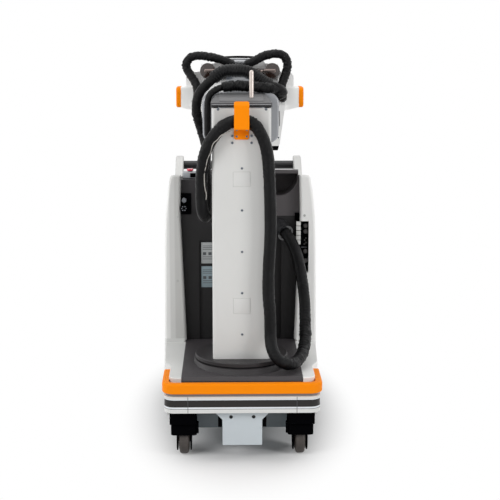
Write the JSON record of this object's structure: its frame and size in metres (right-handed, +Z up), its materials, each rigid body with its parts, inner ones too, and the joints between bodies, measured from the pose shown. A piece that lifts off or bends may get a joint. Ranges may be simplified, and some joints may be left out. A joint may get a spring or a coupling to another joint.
{
  "type": "portable x-ray machine",
  "caption": "Mobile digital x-ray unit on casters and drive wheels, with a turning and lifting mast, a short boom, a tilting tube head and sleeved hoses.",
  "frame": {"origin": "on the floor, below the middle of the machine's length and width", "axes": "+Y from the bumper towards the drive handle, +X to the right seen from the bumper, +Z up"},
  "size_m": [0.6178, 1.29, 1.4672],
  "materials": {
    "white_shell": "satin moulded cover",
    "mast_paint": "satin powder coat",
    "orange_trim": "satin moulded trim",
    "dark_shell": "fine textured cover",
    "deck_dark": "fine textured deck",
    "strip_dark": "smooth strip",
    "cap_grey": "fine textured cap",
    "carriage_grey": "gloss paint",
    "plate_steel": "satin grey paint",
    "frame_steel": "satin paint",
    "battery_case": "plain block",
    "caster_black": "moulded",
    "caster_tread": "moulded rubber",
    "tyre_grey": "moulded rubber",
    "rim_light": "satin",
    "axle_steel": "turned",
    "hose_sleeve": "coated fabric sleeve",
    "gland_black": "gloss moulding",
    "label_metal": "satin foil plate, blank",
    "panel_black": "moulded",
    "stop_red": "gloss",
    "display_dark": "glass front",
    "grip_black": "ribbed rubber",
    "guide_metal": "satin",
    "boom_metal": "anodised",
    "socket_brown": "gloss moulding",
    "turret_black": "matt"
  },
  "bodies": {
    "chassis": {"chassis_frame": "frame_steel", "battery_tray": "plate_steel", "battery_block": "battery_case", "front_bumper": "orange_trim", "lower_band": "white_shell", "band_strip": "strip_dark", "front_plate": "plate_steel", "side_panel_right": "white_shell", "side_panel_left": "white_shell", "platform_cover": "deck_dark", "turntable_ring": "deck_dark", "cabinet_body": "dark_shell", "hose_gland": "gland_black", "label_plates": "label_metal", "breaker_panel": "panel_black", "connector_plate": "panel_black", "emergency_stop": "stop_red", "console_deck": "dark_shell", "console_display": "display_dark", "detector_bin": "dark_shell", "rear_cover": "white_shell", "handle_posts": "white_shell", "drive_handle": "grip_black", "drive_axles": "axle_steel", "caster_hoods": "caster_black", "hose_lower": "hose_sleeve"},
    "left_caster": {"caster_fork_left": "caster_black"},
    "right_caster": {"caster_fork_right": "caster_black"},
    "left_caster_roller": {"caster_wheel_left": "caster_tread"},
    "right_caster_roller": {"caster_wheel_right": "caster_tread"},
    "left_drive": {"drive_tyre_left": "tyre_grey", "drive_rim_left": "rim_light"},
    "right_drive": {"drive_tyre_right": "tyre_grey", "drive_rim_right": "rim_light"},
    "mast": {"turntable_disc": "deck_dark", "mast_shell": "mast_paint", "hose_hook": "orange_trim", "hose_upper": "hose_sleeve"},
    "lift": {"inner_mast": "boom_metal", "mast_cap": "cap_grey", "guide_post": "guide_metal", "boom_carriage": "carriage_grey", "boom_sleeve": "boom_metal", "hose_return": "hose_sleeve", "sleeve_front": "hose_sleeve"},
    "boom_slide": {"boom_stage": "boom_metal"},
    "boom_end": {"boom_arm": "boom_metal"},
    "yoke": {"head_yoke": "carriage_grey"},
    "head": {"tube_housing": "white_shell", "tube_cover": "white_shell", "lower_shroud": "white_shell", "filter_rails": "panel_black", "tube_display": "display_dark", "hv_sockets": "socket_brown", "head_wings": "white_shell", "end_caps": "orange_trim", "ear_cable_left": "hose_sleeve", "ear_cable_right": "hose_sleeve"},
    "turret": {"beam_turret": "turret_black"}
  },
  "joints": [
    {"name": "left_caster_swivel", "type": "hinge", "parent": "chassis", "child": "left_caster", "pos_m": [-0.213, -0.56, 0.13], "axis": [0, 0, 1], "continuous": true},
    {"name": "right_caster_swivel", "type": "hinge", "parent": "chassis", "child": "right_caster", "pos_m": [0.213, -0.56, 0.13], "axis": [0, 0, 1], "continuous": true},
    {"name": "left_caster_roll", "type": "hinge", "parent": "left_caster", "child": "left_caster_roller", "pos_m": [-0.213, -0.537, 0.058], "axis": [1, 0, 0], "continuous": true},
    {"name": "right_caster_roll", "type": "hinge", "parent": "right_caster", "child": "right_caster_roller", "pos_m": [0.213, -0.537, 0.058], "axis": [1, 0, 0], "continuous": true},
    {"name": "left_drive_roll", "type": "hinge", "parent": "chassis", "child": "left_drive", "pos_m": [-0.255, 0.355, 0.15], "axis": [1, 0, 0], "continuous": true},
    {"name": "right_drive_roll", "type": "hinge", "parent": "chassis", "child": "right_drive", "pos_m": [0.255, 0.355, 0.15], "axis": [1, 0, 0], "continuous": true},
    {"name": "mast_turn", "type": "hinge", "parent": "chassis", "child": "mast", "pos_m": [0, -0.373, 0.322], "axis": [0, 0, 1], "range_deg": [-270, 270]},
    {"name": "mast_lift", "type": "slide", "parent": "mast", "child": "lift", "axis": [0, 0, 1], "range_m": [0, 0.7]},
    {"name": "boom_extend", "type": "slide", "parent": "lift", "child": "boom_slide", "axis": [0, 1, 0], "range_m": [0, 0.1]},
    {"name": "boom_extend_second", "type": "slide", "parent": "boom_slide", "child": "boom_end", "axis": [0, 1, 0], "range_m": [0, 0.1]},
    {"name": "head_swivel", "type": "hinge", "parent": "boom_end", "child": "yoke", "pos_m": [0, -0.105, 1.283], "axis": [0, 1, 0], "range_deg": [-90, 90]},
    {"name": "head_tilt", "type": "hinge", "parent": "yoke", "child": "head", "pos_m": [0, 0.035, 1.283], "axis": [1, 0, 0], "range_deg": [-20, 40]},
    {"name": "beam_turn", "type": "hinge", "parent": "head", "child": "turret", "pos_m": [0, 0.035, 1.09], "axis": [0, 0, 1], "range_deg": [-90, 90]}
  ],
  "couplings": [
    {"joint": "boom_extend_second", "follows": "boom_extend", "ratio": 1}
  ]
}
